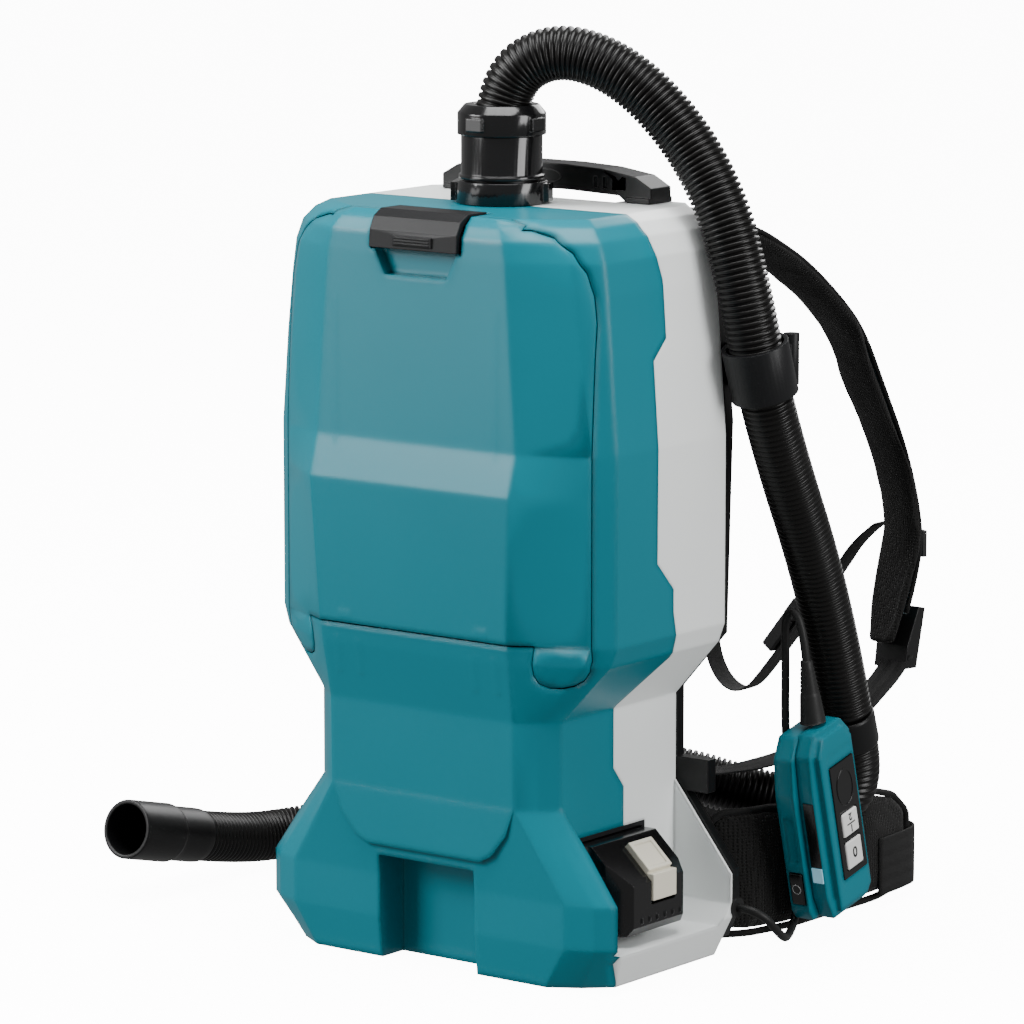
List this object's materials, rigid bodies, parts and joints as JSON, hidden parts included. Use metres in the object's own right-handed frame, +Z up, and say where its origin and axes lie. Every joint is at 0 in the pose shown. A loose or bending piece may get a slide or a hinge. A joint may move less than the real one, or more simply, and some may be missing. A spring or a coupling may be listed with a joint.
{
  "type": "backpack vacuum cleaner",
  "caption": "Backpack vacuum cleaner: teal and white waisted case with hinged lid, two side batteries, ribbed hose on top, padded harness and wired hand control.",
  "frame": {"origin": "centre of the flat underside of the base plate, on the floor", "axes": "+Z up, -Y towards the lid side, +Y towards the harness, +X the side with the hose and the hand control"},
  "size_m": [0.5157, 0.481, 0.6543],
  "materials": {
    "teal_plastic": "gloss teal moulded plastic",
    "white_plastic": "satin light grey-white moulded plastic",
    "black_plastic": "satin black moulded plastic",
    "gloss_black": "glossy black plastic",
    "grey_plastic": "dark grey moulded plastic",
    "cream_plastic": "off-white plastic",
    "white_key": "white key, satin",
    "blue_lens": "light blue translucent lens",
    "hose_plastic": "semi-gloss ribbed hose",
    "soft_rubber": "soft black rubber",
    "steel": "zinc plated steel",
    "aluminium": "cast aluminium",
    "copper": "wound copper and laminations",
    "board_green": "circuit board",
    "paper_bag": "fleece dust bag",
    "filter_paper": "pleated filter paper",
    "black_webbing": "woven black webbing",
    "black_fabric": "black mesh fabric over foam",
    "teal_fabric": "teal woven fabric"
  },
  "bodies": {
    "pack": {"front_housing": "teal_plastic", "rear_housing": "white_plastic", "base_plate": "black_plastic", "case_screws": "steel", "exhaust_grille": "black_plastic", "lid_pins": "steel", "latch_spring": "steel", "dust_chamber": "grey_plastic", "chamber_gasket": "soft_rubber", "dust_bag": "paper_bag", "filter_frame": "black_plastic", "hepa_filter": "filter_paper", "motor_housing": "black_plastic", "stator": "copper", "motor_mounts": "soft_rubber", "control_board": "board_green", "battery_sockets": "grey_plastic", "inlet_socket": "black_plastic", "inlet_tube": "gloss_black", "hose_collar": "gloss_black", "hose_upper": "hose_plastic", "hose_tail": "hose_plastic", "hose_coupling": "black_plastic", "hose_end_cuff": "black_plastic", "hose_holder": "grey_plastic", "carry_handle": "black_plastic", "back_frame": "black_plastic", "frame_screws": "steel", "back_pads": "black_fabric", "shoulder_pads": "black_fabric", "shoulder_covers": "teal_fabric", "shoulder_webbing": "black_webbing", "strap_buckles": "black_plastic", "chest_webbing": "black_webbing", "chest_buckle_female": "black_plastic", "belt_pads": "black_fabric", "belt_webbing": "black_webbing", "waist_buckle_female": "black_plastic", "controller_front": "teal_plastic", "controller_back": "teal_plastic", "label_panel": "gloss_black", "indicator_lens": "blue_lens", "belt_clip": "black_plastic", "cable": "soft_rubber", "cable_boot": "soft_rubber", "cable_gland": "soft_rubber"},
    "cover": {"cover": "teal_plastic"},
    "latch": {"latch_lever": "grey_plastic"},
    "inlet_lock": {"lock_ring": "gloss_black"},
    "battery_r": {"battery_right": "gloss_black"},
    "battery_l": {"battery_left": "gloss_black"},
    "button_r": {"battery_button_right": "cream_plastic"},
    "button_l": {"battery_button_left": "cream_plastic"},
    "fan": {"rotor": "steel", "impeller": "aluminium"},
    "speed_key": {"key_speed": "white_key"},
    "stop_key": {"key_off": "white_key"},
    "link_key": {"wireless_key": "gloss_black"},
    "chest_male": {"chest_buckle_male": "black_plastic"},
    "waist_male": {"waist_buckle_male": "black_plastic"}
  },
  "joints": [
    {"name": "cover_hinge", "type": "hinge", "parent": "pack", "child": "cover", "pos_m": [0, -0.105, 0.224], "axis": [1, 0, 0], "range_deg": [0, 70]},
    {"name": "latch_lift", "type": "hinge", "parent": "pack", "child": "latch", "pos_m": [0, -0.086, 0.523], "axis": [-1, 0, 0], "range_deg": [0, 38], "stiffness_Nm_per_rad": 0.15, "springref_deg": -14.32},
    {"name": "lock_ring_turn", "type": "hinge", "parent": "pack", "child": "inlet_lock", "pos_m": [0, -0.016, 0.538], "axis": [0, 0, 1], "range_deg": [0, 40]},
    {"name": "battery_slide_right", "type": "slide", "parent": "pack", "child": "battery_r", "axis": [1, 0, 0], "range_m": [0, 0.125]},
    {"name": "battery_slide_left", "type": "slide", "parent": "pack", "child": "battery_l", "axis": [-1, 0, 0], "range_m": [0, 0.125]},
    {"name": "battery_button_press_right", "type": "slide", "parent": "battery_r", "child": "button_r", "axis": [-0.6807, 0, -0.7325], "range_m": [0, 0.002], "stiffness_N_per_m": 900, "springref_m": -0.001},
    {"name": "battery_button_press_left", "type": "slide", "parent": "battery_l", "child": "button_l", "axis": [0.6807, 0, -0.7325], "range_m": [0, 0.002], "stiffness_N_per_m": 900, "springref_m": -0.001},
    {"name": "rotor_spin", "type": "hinge", "parent": "pack", "child": "fan", "pos_m": [0, -0.022, 0.15], "axis": [0, 0, 1], "continuous": true},
    {"name": "key_speed_press", "type": "slide", "parent": "pack", "child": "speed_key", "axis": [-1, 0, 0], "range_m": [0, 0.001], "stiffness_N_per_m": 900, "springref_m": -0.0006},
    {"name": "key_off_press", "type": "slide", "parent": "pack", "child": "stop_key", "axis": [-1, 0, 0], "range_m": [0, 0.001], "stiffness_N_per_m": 900, "springref_m": -0.0006},
    {"name": "wireless_key_press", "type": "slide", "parent": "pack", "child": "link_key", "axis": [0, 0.9703, 0.2419], "range_m": [0, 0.0006], "stiffness_N_per_m": 900, "springref_m": -0.0006},
    {"name": "chest_buckle_slide", "type": "slide", "parent": "pack", "child": "chest_male", "axis": [0.6133, 0, 0.7899], "range_m": [0, 0.018]},
    {"name": "waist_buckle_slide", "type": "slide", "parent": "pack", "child": "waist_male", "axis": [1, 0, 0], "range_m": [0, 0.035]}
  ]
}
